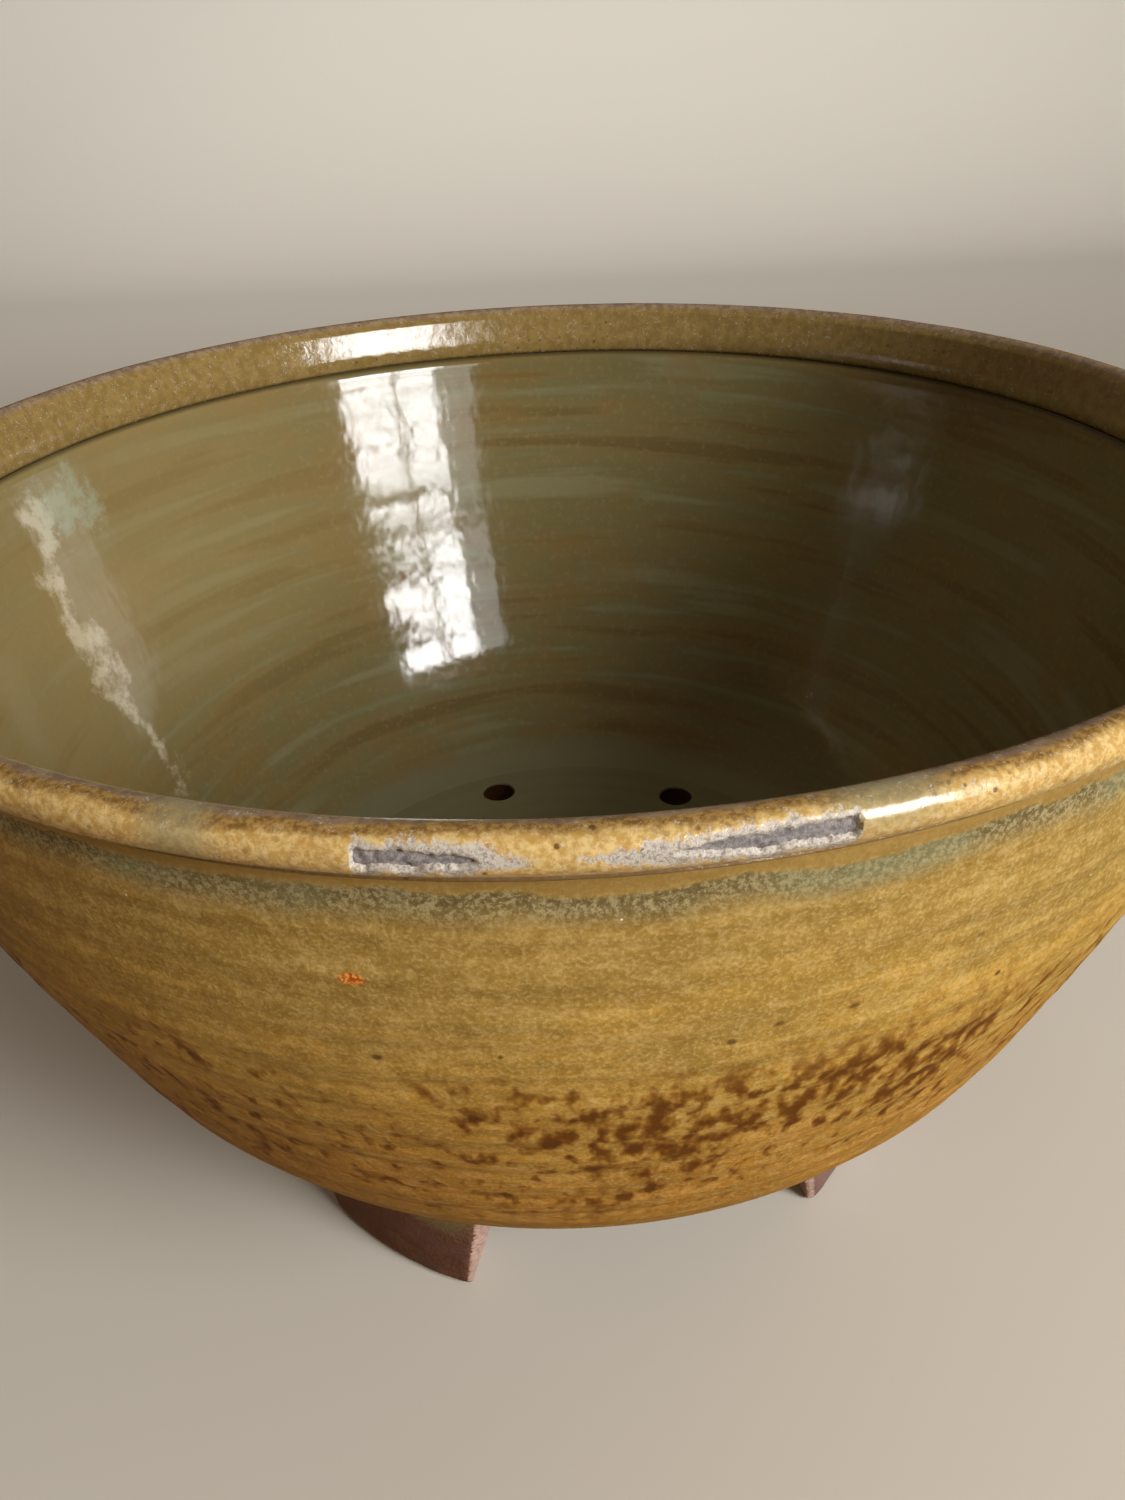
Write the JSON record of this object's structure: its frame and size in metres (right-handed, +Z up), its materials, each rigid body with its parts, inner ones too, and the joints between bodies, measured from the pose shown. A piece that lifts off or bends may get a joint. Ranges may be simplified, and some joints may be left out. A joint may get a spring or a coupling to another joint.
{
  "type": "footed stoneware drainer bowl",
  "caption": "Thrown stoneware bowl with a rolled rim, drain holes through its floor, and a foot ring cut into separate feet, glazed inside and out.",
  "frame": {"origin": "on the bowl's axis, in the plane that the four feet stand on", "axes": "+Z up along the bowl's axis; -Y towards the viewer, with one notch between two feet near -Y"},
  "size_m": [0.2558, 0.2558, 0.1602],
  "materials": {
    "stoneware_clay": "fine grey fired stoneware body, unglazed",
    "iron_washed_clay": "bare fired clay under a thin purple-brown iron wash",
    "tan_glaze": "satin gloss golden tan ash glaze with brown iron blotches",
    "rim_glaze": "glossy golden brown glaze with dark speckles",
    "olive_glaze": "glossy olive green-brown glaze with throwing rings"
  },
  "bodies": {
    "root": {"bowl_wall": "stoneware_clay", "rolled_rim": "stoneware_clay", "perforated_floor": "stoneware_clay", "foot_ring": "iron_washed_clay", "foot_1": "iron_washed_clay", "foot_2": "iron_washed_clay", "foot_3": "iron_washed_clay", "foot_4": "iron_washed_clay", "outer_glaze": "tan_glaze", "rim_glaze": "rim_glaze", "inner_wall_glaze": "olive_glaze", "floor_glaze": "olive_glaze"}
  },
  "joints": []
}
